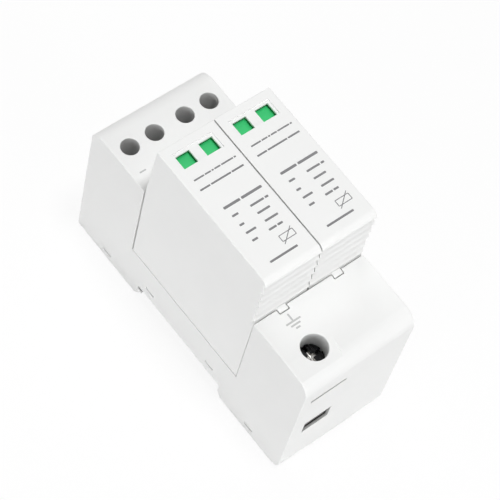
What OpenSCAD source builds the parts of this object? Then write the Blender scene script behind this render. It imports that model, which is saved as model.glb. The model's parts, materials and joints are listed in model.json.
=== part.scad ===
// Two-pole plug-in surge arrester for a 35 mm mounting rail.
// X runs across the poles, +Y points to the line terminals and +Z to the front. The back plane is at Z = 0.

/* [Body] */
// Width of one pole
pole_w = 18; // [18:0.5:22]
// Length of the base from the earth end to the line end
body_l = 90; // [90:1:100]
// Height of the base's shoulders above the back plane
shoulder_z = 49; // [48:0.5:53]
// Height of the modules' front above the back plane
front_z = 70; // [69:0.5:76]
// Length of the bay that takes the modules
bay_l = 45.8; // [45.4:0.2:46.6]
// Height of the bay's floor
bay_floor_z = 18.3; // [18:0.1:19]
// Thickness of the moulded walls
wall = 1.6; // [1.2:0.1:1.6]
// Thickness of the base's end walls
end_wall = 3.1; // [2.6:0.1:3.2]
// Reach along Y of the rounding at the line end
line_round_y = 4.4; // [3.4:0.1:5]
// Drop along Z of the rounding at the line end
line_round_z = 3.1; // [2:0.1:3.3]
// Reach along Y of the rounding at the earth end
earth_round_y = 5; // [4:0.1:5.6]
// Drop along Z of the rounding at the earth end
earth_round_z = 4.4; // [2:0.1:4.8]
// Radius of the back corner at the earth end
back_round = 3; // [2:0.1:3]

/* [Rail] */
// Width of the mounting rail
rail_w = 35; // [35:0.1:35.4]
// Thickness of the rail's flange
rail_t = 1; // [0.8:0.1:1.2]
// Depth of the rail recess
recess_z = 5; // [4.8:0.1:5.2]
// Travel of the rail clip
clip_travel = 4; // [3:0.1:4]
// Width of the rail clip's flanges
clip_w = 16; // [14:0.5:18]

/* [Line terminals] */
// Distance between the two line terminals of a pole
line_pitch = 8; // [8:0.1:8.2]
// Distance of the line screws from the line end
line_inset = 9.4; // [9.2:0.1:9.6]
// Diameter of the line screw wells
line_well_d = 5.1; // [5:0.1:5.6]
// Depth of the line screw wells
line_well_h = 12.3; // [11.5:0.1:12.8]
// Outside width of a line cage
line_cage_w = 6.3; // [6:0.1:6.3]
// Length of a line cage
line_cage_l = 9.6; // [9:0.1:11]
// Bottom of the space for a line wire
line_wire_z = 21.1; // [20.6:0.1:21.2]
// Height of the space for a line wire
line_wire_h = 5.5; // [5:0.1:5.6]

/* [Earth terminal] */
// Distance of the earth screw from the earth end
earth_inset = 8.8; // [8.6:0.1:9.2]
// Diameter of the earth screw well
earth_well_d = 7.5; // [7.3:0.1:8]
// Depth of the earth screw well
earth_well_h = 8.5; // [7.5:0.1:10]
// Outside width of the earth cage
earth_cage_w = 10.4; // [10:0.1:10.8]
// Length of the earth cage
earth_cage_l = 12.6; // [11.6:0.1:14]
// Thickness of the end wall in front of the earth cage
earth_wall = 1; // [0.8:0.1:1.3]
// Bottom of the space for the earth wire
earth_wire_z = 18; // [17.6:0.1:18.6]
// Height of the space for the earth wire
earth_wire_h = 5.5; // [5:0.1:5.8]

/* [Modules] */
// Wall of the module shells
shell_wall = 1.4; // [1.2:0.1:1.5]
// Thickness of the module front
front_wall = 1; // [0.9:0.1:1.2]
// Lean of the module's line end
end_lean = 1.1; // [0.6:0.1:1.4]
// Number of grip ribs
rib_count = 5; // [4:1:6]
// Depth of the grip ribs
rib_d = 0.9; // [0.5:0.1:1]
// Window size across the module
window_w = 4.3; // [4:0.1:4.4]
// Window size along the module
window_l = 4; // [3.6:0.1:4.2]
// Distance between the window centres
window_pitch = 7.2; // [7:0.1:7.4]
// Distance of the windows from the bay's line end
window_y = 6.8; // [6.5:0.1:7.4]
// Width of the key tab at the grip end
tab_w = 2.8; // [2.4:0.1:4]
// Reach of the key tab
tab_l = 1.4; // [1:0.1:1.6]
// Side of the square varistor blocks
varistor_l = 34; // [32:0.5:34]
// Thickness of a varistor block
varistor_t = 4.2; // [3.6:0.1:4.2]
// Thickness of the plug blades
blade_t = 0.8; // [0.6:0.1:1]
// Width of the plug blades
blade_w = 6; // [5:0.2:6.4]
// Distance of the plug blades from the bay's ends
blade_y = 7.9; // [7.2:0.1:8.6]
// Travel of a status flag
flag_travel = 5; // [4.6:0.1:5]

/* [Hidden] */
$fn = 48;

// Overshoot of every cutting shape past the face it opens
over = 1;
// Gap between pieces that are assembled and stay put
seat_gap = 0.1;
// Gap between pieces that slide past each other
slide_gap = 0.25;
// Visible joint between the modules and the base
joint_gap = 0.3;

half_w = pole_w;
half_l = body_l / 2;
bay_half = bay_l / 2;
inner_w = half_w - wall;
inner_l = half_l - end_wall;
function pole_x(pole) = (pole - 1.5) * pole_w;
function line_x(i) = pole_x(ceil(i / 2)) + (i % 2 - 0.5) * -line_pitch;

// Rail recess: fixed hook towards the line end, clip towards the earth end
hook_reach = 1.3;
hook_flare = 1;
hook_end = rail_w / 2 + joint_gap;
hook_z = recess_z - rail_t - joint_gap;
hook_nose = 0.9;
clip_clear = 0.8;
clip_side = rail_w / 2 + clip_clear;
clip_flare = 1.7;
clip_flare_z = 2;

// Back plate
plate_t = 1.4;
plate_top = recess_z + plate_t;
line_pad_z = 3.4;
earth_pad_z = 5.4;
ceiling_over = 2.7;
ceiling_l = rail_w / 2 + ceiling_over;
snap_l = 3;
snap_h = 0.9;
snap_out = 1.4;
snap_gap = 0.15;
snap_out_y = 31.8;
snap_mid_y = 13.2;
snap_y = [snap_out_y, snap_mid_y, -snap_mid_y, -snap_out_y];
snap_drop = 1.1;
snap_rise = 1.8;
snap_z = [line_pad_z - snap_drop, plate_top + snap_rise, plate_top + snap_rise, line_pad_z - snap_drop];
ear_t = 1.4;

// Rail clip in its groove
clip_z = 1.4;
clip_t = 1.3;
clip_low = 0.4;
clip_lip = 2;
clip_tip = 1.4;
clip_nose_w = clip_w - 2 * clip_lip;
clip_spring_r = 0.7;
clip_spring_wire = 0.3;
clip_spring_turns = 8;
clip_window_w = 3;
clip_spring_inset = 17.5;
clip_spring_l = 9.5;
clip_spring_y = -half_l + clip_spring_inset;
clip_peg_y = clip_spring_y - clip_spring_l;
clip_peg_l = 1.6;
pull_slot_w = 6;
pull_slot_l = 1.4;
pull_slot_inset = 3.4;

// Line terminals
line_y = half_l - line_inset;
line_seat_z = shoulder_z - line_well_h;
line_ledge_t = 1.2;
line_ledge_z = line_seat_z - line_ledge_t;
line_head_gap = 0.15;
line_head_r = line_well_d / 2 - line_head_gap;
line_head_h = 2.5;
line_shank_r = 1.9;
line_plate_t = 1.8;
line_floor_t = 1.4;
line_side_t = 0.8;
line_tongue_gap = 0.45;
line_tongue_t = 1.4;
line_tongue_w = line_cage_w - 2 * line_side_t - 2 * line_tongue_gap;
line_tongue_z = line_wire_z + line_wire_h;
line_cage_low = line_y - line_cage_l / 2;
line_cage_high = line_y + line_cage_l / 2;

// Earth terminal
earth_x = pole_x(1);
earth_y = -half_l + earth_inset;
earth_seat_z = shoulder_z - earth_well_h;
earth_ledge_t = 2;
earth_ledge_z = earth_seat_z - earth_ledge_t;
earth_head_gap = 0.2;
earth_head_r = earth_well_d / 2 - earth_head_gap;
earth_head_h = 3;
earth_shank_r = 2.4;
earth_plate_t = 2.2;
earth_floor_t = 1.6;
earth_side_t = 1;
earth_tongue_gap = 0.6;
earth_tongue_t = 1.6;
earth_tongue_w = earth_cage_w - 2 * earth_side_t - 2 * earth_tongue_gap;
earth_tongue_z = earth_wire_z + earth_wire_h;
earth_cage_gap = 0.25;
earth_cage_low = -half_l + earth_wall + earth_cage_gap;
earth_cage_high = earth_cage_low + earth_cage_l;

// Shared terminal values
thread_gap = 0.1;
shank_gap = 0.2;
drive_slot_w = 0.9;
drive_slot_h = 1.2;
chamber_gap = 0.25;
funnel_flare = 0.9;
earth_flare = 0.35;
cage_travel = 5;
tooth_w = 0.6;
tooth_d = 0.35;
tooth_pitch = 1.4;
bar_gap = 0.5;
bar_t = 1.4;
bar_w = 6;
bar_z = plate_top + seat_gap;
bar_leg = bay_half + wall + seat_gap;
bar_leg_end = bar_leg + bar_t;
blade_mid = bay_half - blade_y;
fork_t = 0.6;
fork_base_w = 4.4;
fork_flare = 1.1;
fork_head = 0.6;
fork_mouth = 2.6;
fork_h = bay_floor_z - wall - fork_head - bar_z - bar_t;
fork_grip_h = fork_h - fork_mouth;
contact_gap = 0.05;

// Slit under the earth well, and the facet that slopes from the well to the end
slit_half_w = 5.9;
slit_drop = 9.6;
slit_z = shoulder_z - slit_drop;
slit_h = 1;
slit_d = 2;
facet_drop = 0.7;
facet_lean = 2.4;

// Modules
module_half_w = pole_w / 2 - joint_gap / 2;
module_half_l = bay_half - joint_gap;
module_z = bay_floor_z + joint_gap / 2;
shell_in_w = module_half_w - shell_wall;
shell_low_y = -module_half_l + rib_d + shell_wall;
shell_high_y = module_half_l - shell_wall;
shell_front_y = module_half_l - end_lean - shell_wall;
shell_in_z = front_z - front_wall;
nose_r = 2;
rib_top = front_z - nose_r;
rib_rise = 0.6;
rib_low = shoulder_z + rib_rise;
rib_step = (rib_top - rib_low) / rib_count;
rib_ledge = 0.15;
window_mid = bay_half - window_y;
recess_margin_w = 0.65;
recess_margin_l = 0.6;
recess_w = window_pitch + window_w + 2 * recess_margin_w;
recess_l = window_l + 2 * recess_margin_l;
recess_shift = 0.3;
recess_d = 0.4;
tab_t = 1.5;
floor_t = 1.6;
floor_z = module_z + floor_t;
lug_w = 6;
lug_h = 0.8;
lug_out = 0.8;

// Status flags over the fault marker, each with its coil behind its lug
flag_t = 0.6;
flag_gap = 1;
flag_margin = 0.5;
flag_over = 0.65;
flag_x = window_pitch / 2;
flag_w = window_w + 2 * flag_over;
flag_l = window_l + 2 * flag_margin;
flag_z = shell_in_z - flag_gap - flag_t;
flag_y = window_mid - flag_l / 2;
marker_t = 0.6;
marker_z = flag_z - joint_gap - marker_t;
marker_y = flag_y + joint_gap;
marker_end_y = shell_front_y - seat_gap;
marker_w = 2 * (shell_in_w - joint_gap);
rest_t = 1;
coil_r = 1.3;
coil_wire = 0.4;
coil_turns = 4;
coil_gap = 0.2;
coil_z = marker_z - joint_gap - coil_r - coil_wire / 2;
lug_t = 1.2;
flag_lug_z = coil_z - coil_r - coil_wire / 2 - coil_gap;
guide_t = 0.8;
guide_over = 0.2;

// Inside of a module, measured from the module's own middle
blade_clear = 1;
blade_low_z = bar_z + bar_t + fork_t + blade_clear;
blade_tip = 1;
cross_z = floor_z + seat_gap;
varistor_gap = 1.2;
varistor_in = blade_t / 2;
varistor_out = varistor_in + varistor_t;
varistor_y = shell_low_y + varistor_gap;
varistor_z = (cross_z + blade_t + flag_lug_z - varistor_l) / 2;
varistor_top = varistor_z + varistor_l;
varistor_round = 3;
rest_w = 2;
plate_inset = 6;
solder_t = 0.5;
solder_l = 3.2;
solder_h = 5;
solder_drop = 8;
solder_back = 5.6;
solder_y = window_mid - window_l / 2 - solder_back;
leaf_t = 0.4;
leaf_w = 3.2;
leaf_x = varistor_out + solder_t;
leaf_hold = 1.4;
leaf_top = flag_lug_z + leaf_hold;
leg_w = 4;
leg_h = 3.6;
leg_inset = 1.4;
leg_y = shell_high_y - leg_inset - leg_w;
flag_lug_w = leaf_x - slide_gap - flag_x + flag_w / 2;

// A block between two corners
module block(low, high) {
    translate(low)
        cube(high - low);
}

// A YZ outline carried along X
module slab(x0, x1) {
    translate([x0, 0, 0])
        rotate([90, 0, 90])
            linear_extrude(x1 - x0)
                children();
}

// An XZ outline carried along Y
module bar(y0, y1) {
    translate([0, y1, 0])
        rotate([90, 0, 0])
            linear_extrude(y1 - y0)
                children();
}

// What a rounding of a square corner takes away; the corner is at the origin and the stock lies towards +, +
module corner_cut(r) {
    difference() {
        translate([-over, -over])
            square(r + over);
        translate([r, r])
            circle(r);
    }
}

// What the rounding of a tower's end takes away: an arc that leaves the front smoothly
// and meets the end at an angle
module end_cut(reach, drop) {
    r = (reach * reach + drop * drop) / (2 * drop);
    difference() {
        translate([-reach, -r])
            square([reach + 2 * over, r + over]);
        translate([-reach, -r])
            circle(r);
    }
}

// A coil along Y: round wire swept along a helix, with both ends cut square
module coil(radius, wire, turns, length) {
    sides = 6;
    per_turn = 12;
    rings = turns * per_turn;
    run = length - wire;
    points = [for (i = [0 : rings]) for (j = [0 : sides - 1])
        let (turn = 360 * i / per_turn, around = 360 * j / sides, reach = radius + wire / 2 * cos(around))
        [reach * cos(turn), wire / 2 + run * i / rings + wire / 2 * sin(around), reach * sin(turn)]];
    skin = [for (i = [0 : rings - 1]) for (j = [0 : sides - 1])
        let (a = i * sides + j, b = i * sides + (j + 1) % sides)
        each [[a, b, b + sides], [a, b + sides, a + sides]]];
    first = [for (j = [1 : sides - 2]) [0, j + 1, j]];
    last = [for (j = [1 : sides - 2]) [rings * sides, rings * sides + j, rings * sides + j + 1]];
    polyhedron(points, concat(first, skin, last));
}

// Outline of the space that the rail takes in the back
module rail_space() {
    polygon([[-clip_side - clip_flare, -over], [hook_end + hook_flare, -over], [hook_end + hook_flare, 0],
        [rail_w / 2 - hook_reach, hook_z - hook_nose], [rail_w / 2 - hook_reach, hook_z], [hook_end, hook_z],
        [hook_end, recess_z], [-clip_side, recess_z], [-clip_side, clip_flare_z],
        [-clip_side - clip_flare, 0]]);
}

// Side outline of the base
module base_outline() {
    difference() {
        polygon([[-half_l, 0], [half_l, 0], [half_l, shoulder_z], [bay_half, shoulder_z],
            [bay_half, bay_floor_z], [-bay_half, bay_floor_z], [-bay_half, shoulder_z],
            [-half_l, shoulder_z]]);
        translate([half_l, shoulder_z])
            end_cut(line_round_y, line_round_z);
        translate([-half_l, shoulder_z])
            mirror([1, 0])
                end_cut(earth_round_y, earth_round_z);
        translate([-half_l, 0])
            corner_cut(back_round);
        translate([half_l, 0])
            mirror([1, 0])
                corner_cut(back_round / 3);
        rail_space();
    }
}

// Side outline of the back plate, grown by a gap on the sides that meet the housing
module plate_outline(gap, low) {
    end = inner_l - seat_gap + gap;
    polygon([[-end, low], [end, low], [end, line_pad_z + gap], [ceiling_l + gap, line_pad_z + gap],
        [ceiling_l + gap, plate_top + gap], [-ceiling_l - gap, plate_top + gap],
        [-ceiling_l - gap, earth_pad_z + gap], [-end, earth_pad_z + gap]]);
}

// Wire funnel through an end wall: side is 1 at the line end and -1 at the earth end
module funnel(x, w, z0, z1, side, wall_t, flare) {
    in = half_l - wall_t - over;
    slope = flare / wall_t;
    grow_in = -slope * over;
    grow_out = flare + slope * over;
    out = half_l + over;
    intersection() {
        linear_extrude(shoulder_z)
            polygon([[x - w / 2 - grow_in, side * in], [x + w / 2 + grow_in, side * in],
                [x + w / 2 + grow_out, side * out], [x - w / 2 - grow_out, side * out]]);
        slab(-half_w, half_w)
            polygon([[side * in, z0 - grow_in], [side * out, z0 - grow_out],
                [side * out, z1 + grow_out], [side * in, z1 + grow_in]]);
    }
}

// Screw well with its seat and shank hole
module well(x, y, d, seat_z, ledge_z, shank_r) {
    translate([x, y, seat_z])
        cylinder(h = shoulder_z - seat_z + over, d = d);
    translate([x, y, ledge_z - over])
        cylinder(h = seat_z - ledge_z + 2 * over, r = shank_r + shank_gap);
}

// Space for the pieces of one pole under the bay and in the line tower
module pole_space(pole) {
    x0 = pole == 1 ? -inner_w : wall / 2;
    x1 = pole == 1 ? -wall / 2 : inner_w;
    half = line_cage_w / 2 + chamber_gap;
    leg_space = bar_leg_end + chamber_gap;
    leg_top = line_tongue_z + 3 * line_tongue_t;
    chamber_y = line_cage_low - chamber_gap;
    block([x0, -bar_leg_end - chamber_gap, -over], [x1, leg_space, bay_floor_z - wall]);
    block([pole_x(pole) - line_pitch / 2 - half, bay_half + wall, -over],
        [pole_x(pole) + line_pitch / 2 + half, leg_space, leg_top]);
    for (i = [2 * pole - 1, 2 * pole]) {
        block([line_x(i) - half, leg_space - over, -over], [line_x(i) + half, chamber_y + over, leg_top]);
        block([line_x(i) - half, chamber_y, -over], [line_x(i) + half, inner_l, line_ledge_z]);
    }
}

// Space for the earth terminal, and the empty half of the earth tower beside it
module earth_space() {
    half = earth_cage_w / 2 + chamber_gap;
    block([earth_x - half, -inner_l, -over], [earth_x + half, -bay_half - wall, earth_ledge_z]);
    // Pocket in the end wall that brings the cage up to the wire entry
    block([earth_x - half, -half_l + earth_wall, earth_wire_z - earth_floor_t - slide_gap],
        [earth_x + half, -inner_l + over,
        earth_tongue_z + earth_tongue_t + joint_gap + earth_plate_t + cage_travel + slide_gap]);
    block([wall / 2, -inner_l, -over], [inner_w, -bay_half - wall, shoulder_z - 2 * wall]);
    // Way through the middle wall for the earth bar
    block([-over, -bar_leg_end - chamber_gap, -over],
        [over, -bay_half + bar_w / 2 + bar_gap, bar_z + bar_t + bar_gap]);
}

// Slots in the bay's floor for the plug blades
module blade_slots() {
    slot_w = blade_t / 2 + bar_gap;
    slot_l = blade_w / 2 + bar_gap;
    for (pole = [1, 2])
        for (y = [blade_mid, -blade_mid])
            block([pole_x(pole) - slot_w, y - slot_l, bay_floor_z - wall - over],
                [pole_x(pole) + slot_w, y + slot_l, bay_floor_z + over]);
}

// What the sloping facet beside the earth well takes away, out to the left side
module earth_facet() {
    end = -half_l - over;
    right = earth_x + slit_half_w;
    intersection() {
        linear_extrude(shoulder_z + over)
            polygon([[-half_w - over, earth_y], [right, earth_y], [right - facet_lean, end],
                [-half_w - over, end]]);
        slab(-half_w - 2 * over, right + over)
            polygon([[earth_y, shoulder_z], [earth_y, shoulder_z + over / 2], [end, shoulder_z + over / 2],
                [end, shoulder_z - facet_drop]]);
    }
}

module base_housing() {
    color("white")
        difference() {
            slab(-half_w, half_w)
                base_outline();
            earth_facet();
            slab(-inner_w, inner_w)
                plate_outline(seat_gap, -over);
            for (pole = [1, 2])
                pole_space(pole);
            earth_space();
            blade_slots();
            for (i = [1 : 4]) {
                well(line_x(i), line_y, line_well_d, line_seat_z, line_ledge_z, line_shank_r);
                funnel(line_x(i), line_cage_w - 2 * line_side_t, line_wire_z, line_tongue_z, 1, end_wall,
                    funnel_flare);
            }
            well(earth_x, earth_y, earth_well_d, earth_seat_z, earth_ledge_z, earth_shank_r);
            funnel(earth_x, earth_cage_w - 2 * earth_side_t, earth_wire_z, earth_tongue_z, -1, earth_wall,
                earth_flare);
            // Slit under the earth well
            block([earth_x - slit_half_w, -half_l - over, slit_z - slit_h],
                [earth_x + slit_half_w, -half_l + slit_d, slit_z]);
            // Notches for the modules' key tabs
            for (pole = [1, 2])
                block([pole_x(pole) - tab_w / 2 - slide_gap, -bay_half - tab_l,
                    shoulder_z - tab_t - slide_gap],
                    [pole_x(pole) + tab_w / 2 + slide_gap, -bay_half + over, shoulder_z + over]);
            // Way out for the rail clip under the earth end
            block([-clip_w / 2 - slide_gap, -half_l - over, -over],
                [clip_w / 2 + slide_gap, -inner_l + over, clip_z + clip_t + slide_gap]);
            // Windows for the back plate's snap hooks
            for (side = [-1, 1])
                for (i = [0 : 3])
                    translate([side * half_w, snap_y[i], snap_z[i] + snap_h / 2])
                        cube([2 * wall + seat_gap, snap_l + 2 * snap_gap, snap_h + 2 * snap_gap],
                            center = true);
        }
}

module back_plate() {
    plate_w = inner_w - seat_gap;
    groove_y = -half_l - over;
    color("whitesmoke") {
        difference() {
            slab(-plate_w, plate_w)
                difference() {
                    plate_outline(0, 0);
                    rail_space();
                }
            // Groove of the rail clip, open to the back between two lips
            block([-clip_w / 2 - slide_gap, groove_y, clip_z - slide_gap],
                [clip_w / 2 + slide_gap, -clip_side + over, clip_z + clip_t + slide_gap]);
            block([-clip_nose_w / 2 - slide_gap, groove_y, -over],
                [clip_nose_w / 2 + slide_gap, -clip_side + over, clip_z]);
            // Room for the hooked nose at the groove's mouth
            block([-clip_nose_w / 2 - slide_gap, -clip_side - clip_travel - over - slide_gap, clip_z],
                [clip_nose_w / 2 + slide_gap, -clip_side + over, recess_z - rail_t]);
        }
        // Peg that the clip's spring pushes on
        block([-clip_spring_r, clip_peg_y - clip_peg_l, clip_z - clip_low],
            [clip_spring_r, clip_peg_y, earth_pad_z - seat_gap]);
        // Snap hooks, the middle ones on ears
        for (side = [-1, 1])
            for (i = [0 : 3]) {
                translate([side * (plate_w + snap_out / 2), snap_y[i], snap_z[i] + snap_h / 2])
                    cube([snap_out + 2 * seat_gap, snap_l, snap_h], center = true);
                if (snap_z[i] > plate_top)
                    translate([side * (plate_w - ear_t / 2), snap_y[i], (plate_top + snap_z[i] + snap_h) / 2])
                        cube([ear_t, snap_l, snap_z[i] + snap_h - plate_top + 2 * seat_gap], center = true);
            }
    }
}

// Side outline of the clip's hooked nose
module clip_nose() {
    polygon([[-clip_side - over, clip_low], [-clip_side + clip_tip / 2, clip_low],
        [-rail_w / 2 + clip_tip, recess_z - rail_t - 2 * slide_gap - clip_tip / 2],
        [-rail_w / 2 + clip_tip, recess_z - rail_t - slide_gap],
        [-clip_side - over, recess_z - rail_t - slide_gap]]);
}

module rail_clip() {
    tail_y = -half_l + seat_gap;
    color("whitesmoke")
        difference() {
            union() {
                block([-clip_w / 2, tail_y, clip_z], [clip_w / 2, -clip_side, clip_z + clip_t]);
                block([-clip_nose_w / 2, tail_y + back_round, clip_low],
                    [clip_nose_w / 2, -clip_side, clip_z + clip_t]);
                slab(-clip_nose_w / 2, clip_nose_w / 2)
                    clip_nose();
            }
            // Window for the spring
            block([-clip_window_w / 2, clip_peg_y - clip_peg_l - slide_gap, -over],
                [clip_window_w / 2, clip_spring_y, recess_z]);
            // Slot for a screwdriver
            block([-pull_slot_w / 2, tail_y + pull_slot_inset, -over],
                [pull_slot_w / 2, tail_y + pull_slot_inset + pull_slot_l, recess_z]);
        }
}

module rail_clip_spring() {
    color("silver")
        translate([0, clip_peg_y + seat_gap, clip_z + clip_t / 2])
            coil(clip_spring_r, clip_spring_wire, clip_spring_turns,
                clip_spring_y - clip_peg_y - 2 * seat_gap);
}

// Terminal screw with a cross slot in its head
module clamp_screw(x, y, head_r, head_h, shank_r, seat_z, tip_z) {
    translate([x, y, 0])
        difference() {
            union() {
                translate([0, 0, seat_z])
                    cylinder(h = head_h, r = head_r);
                translate([0, 0, tip_z])
                    cylinder(h = seat_z - tip_z + head_h / 2, r = shank_r);
            }
            for (turn = [0, 90])
                rotate(turn)
                    translate([-head_r - over, -drive_slot_w / 2, seat_z + head_h - drive_slot_h])
                        cube([2 * (head_r + over), drive_slot_w, drive_slot_h + over]);
        }
}

// Cage that a screw pulls up: the wire lies between its toothed floor and the bar's tongue
module clamp_cage(x, y, low_y, high_y, w, side_t, floor_t, plate_t, wire_z, tongue_top, shank_r) {
    top = tongue_top + joint_gap;
    difference() {
        block([x - w / 2, low_y, wire_z - floor_t], [x + w / 2, high_y, top + plate_t]);
        block([x - w / 2 + side_t, low_y - over, wire_z], [x + w / 2 - side_t, high_y + over, top]);
        translate([x, y, top - over])
            cylinder(h = plate_t + 2 * over, r = shank_r + thread_gap);
        for (tooth_y = [low_y + tooth_pitch : tooth_pitch : high_y - tooth_w])
            block([x - w / 2 + side_t, tooth_y - tooth_w / 2, wire_z - tooth_d],
                [x + w / 2 - side_t, tooth_y + tooth_w / 2, wire_z + over]);
    }
}

module line_screw(i) {
    color("silver")
        clamp_screw(line_x(i), line_y, line_head_r, line_head_h, line_shank_r, line_seat_z,
            line_tongue_z + line_tongue_t + joint_gap);
}

module line_cage(i) {
    color("lightgray")
        clamp_cage(line_x(i), line_y, line_cage_low, line_cage_high, line_cage_w, line_side_t, line_floor_t,
            line_plate_t, line_wire_z, line_tongue_z + line_tongue_t, line_shank_r);
}

// Outline of a folded bar: tongue at the terminal, leg down the tower, foot under the socket
module bar_outline(tongue_end, leg, foot_end, tongue_z, tongue_t) {
    foot_top = bar_z + bar_t;
    polygon([[tongue_end, tongue_z + tongue_t], [leg, tongue_z + tongue_t], [leg, foot_top],
        [foot_end, foot_top], [foot_end, bar_z], [leg + bar_t, bar_z], [leg + bar_t, tongue_z],
        [tongue_end, tongue_z]]);
}

module line_bar(pole) {
    span = line_pitch / 2 + line_tongue_w / 2;
    color("peru") {
        slab(pole_x(pole) - bar_w / 2, pole_x(pole) + bar_w / 2)
            bar_outline(bar_leg_end, bar_leg, blade_mid - blade_w / 2 - bar_gap, line_tongue_z,
                line_tongue_t);
        block([pole_x(pole) - span, bar_leg, line_tongue_z - bar_w / 2],
            [pole_x(pole) + span, bar_leg_end, line_tongue_z + line_tongue_t]);
        for (i = [2 * pole - 1, 2 * pole])
            block([line_x(i) - line_tongue_w / 2, bar_leg, line_tongue_z],
                [line_x(i) + line_tongue_w / 2, line_cage_high - bar_gap, line_tongue_z + line_tongue_t]);
    }
}

// Outline of a socket: two spring sides that close on the blade and open out at the top
module fork_outline() {
    grip = blade_t / 2 + contact_gap;
    base = bar_z + bar_t;
    side = [[fork_base_w / 2, base], [fork_base_w / 2, base + fork_t], [grip + fork_t, base + fork_grip_h],
        [fork_flare + fork_t, base + fork_h], [fork_flare, base + fork_h], [grip, base + fork_grip_h],
        [fork_base_w / 2 - fork_t, base + fork_t]];
    other = [for (i = [len(side) - 1 : -1 : 0]) [-side[i][0], side[i][1]]];
    polygon(concat(side, other));
}

module socket_fork(pole, y) {
    color("goldenrod")
        translate([pole_x(pole), 0, 0])
            bar(y - blade_w / 2, y + blade_w / 2)
                fork_outline();
}

module earth_screw() {
    color("silver")
        clamp_screw(earth_x, earth_y, earth_head_r, earth_head_h, earth_shank_r, earth_seat_z,
            earth_tongue_z + earth_tongue_t + joint_gap);
}

module earth_cage() {
    color("lightgray")
        clamp_cage(earth_x, earth_y, earth_cage_low, earth_cage_high, earth_cage_w, earth_side_t,
            earth_floor_t, earth_plate_t, earth_wire_z, earth_tongue_z + earth_tongue_t, earth_shank_r);
}

module earth_bar() {
    foot_end = blade_mid - blade_w / 2 - bar_gap;
    cross_y = bay_half - bar_w / 2;
    color("peru")
        mirror([0, 1, 0]) {
            slab(earth_x - earth_tongue_w / 2, earth_x + earth_tongue_w / 2)
                bar_outline(-earth_cage_low - bar_gap, bar_leg, foot_end, earth_tongue_z, earth_tongue_t);
            block([pole_x(1), cross_y, bar_z], [pole_x(2) + bar_w / 2, bar_leg_end, bar_z + bar_t]);
            block([pole_x(2) - bar_w / 2, foot_end, bar_z],
                [pole_x(2) + bar_w / 2, bar_leg_end, bar_z + bar_t]);
        }
}

// Outer side outline of a module: leaning line end, rounded nose and sawtooth grip ribs
module shell_outline() {
    ribs = [for (i = [0 : rib_count - 1]) each [
        [-module_half_l + rib_d, rib_top - i * rib_step],
        [-module_half_l, rib_top - (i + 1 - rib_ledge) * rib_step]]];
    difference() {
        polygon(concat([[-module_half_l, module_z], [module_half_l, module_z], [module_half_l, rib_low],
            [module_half_l - end_lean, front_z], [-module_half_l, front_z], [-module_half_l, rib_top]],
            ribs, [[-module_half_l + rib_d, rib_low], [-module_half_l, rib_low - rib_d]]));
        translate([-module_half_l, front_z])
            mirror([0, 1])
                corner_cut(nose_r);
    }
}

// Inner side outline of a module, open at the bottom
module shell_space() {
    polygon([[shell_low_y, module_z - over], [shell_high_y, module_z - over], [shell_high_y, rib_low],
        [shell_front_y, shell_in_z], [shell_low_y, shell_in_z]]);
}

module module_shell(pole) {
    x = pole_x(pole);
    color("white")
        difference() {
            union() {
                difference() {
                    union() {
                        slab(x - module_half_w, x + module_half_w)
                            shell_outline();
                        block([x - tab_w / 2, -bay_half - tab_l + slide_gap, shoulder_z - tab_t],
                            [x + tab_w / 2, -module_half_l + shell_wall, shoulder_z]);
                    }
                    slab(x - shell_in_w, x + shell_in_w)
                        shell_space();
                }
                for (side = [-1, 1]) {
                    // Ledge that carries the fault marker
                    translate([x + side * (shell_in_w - rest_t / 2), (marker_y + marker_end_y) / 2,
                        marker_z - rest_t / 2])
                        cube([rest_t + 2 * seat_gap, marker_end_y - marker_y, rest_t], center = true);
                    // Guide that a status flag slides back on
                    guide_in = flag_x + flag_w / 2 - guide_over;
                    guide_end = flag_y - lug_t - flag_travel - slide_gap;
                    translate([x + side * (shell_in_w + guide_in) / 2, (flag_y + guide_end) / 2,
                        marker_z + marker_t - guide_t / 2])
                        cube([shell_in_w - guide_in + seat_gap, flag_y - guide_end, guide_t], center = true);
                }
            }
            // Window recess and windows
            block([x - recess_w / 2, window_mid + recess_shift - recess_l / 2, front_z - recess_d],
                [x + recess_w / 2, window_mid + recess_shift + recess_l / 2, front_z + over]);
            for (side = [-1, 1])
                translate([x + side * window_pitch / 2, window_mid, front_z])
                    cube([window_w, window_l, 4 * front_wall], center = true);
            // Pockets for the floor's snap lugs
            block([x - lug_w / 2 - slide_gap, -module_half_l + seat_gap + rib_d,
                module_z + floor_t / 2 - lug_h],
                [x + lug_w / 2 + slide_gap, module_half_l - 2 * slide_gap, module_z + floor_t / 2 + lug_h]);
        }
}

module module_floor(pole) {
    x = pole_x(pole);
    slot_w = blade_t / 2 + seat_gap;
    slot_l = blade_w / 2 + seat_gap;
    color("whitesmoke")
        difference() {
            union() {
                block([x - shell_in_w + seat_gap, shell_low_y + seat_gap, module_z],
                    [x + shell_in_w - seat_gap, shell_high_y - seat_gap, floor_z]);
                block([x - lug_w / 2, shell_low_y - lug_out, module_z + floor_t / 2 - lug_h / 2],
                    [x + lug_w / 2, shell_high_y + lug_out, module_z + floor_t / 2 + lug_h / 2]);
                // Ribs under the varistors
                for (side = [-1, 1])
                    for (y = [varistor_y + 2 * rest_w, varistor_y + varistor_l / 2])
                        translate([x + side * (varistor_in + varistor_out) / 2, y,
                            (module_z + floor_t / 2 + varistor_z) / 2])
                            cube([varistor_t / 2, rest_w, varistor_z - module_z - floor_t / 2],
                                center = true);
            }
            for (y = [blade_mid, -blade_mid])
                block([x - slot_w, y - slot_l, module_z - over], [x + slot_w, y + slot_l, floor_z + over]);
        }
}

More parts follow.
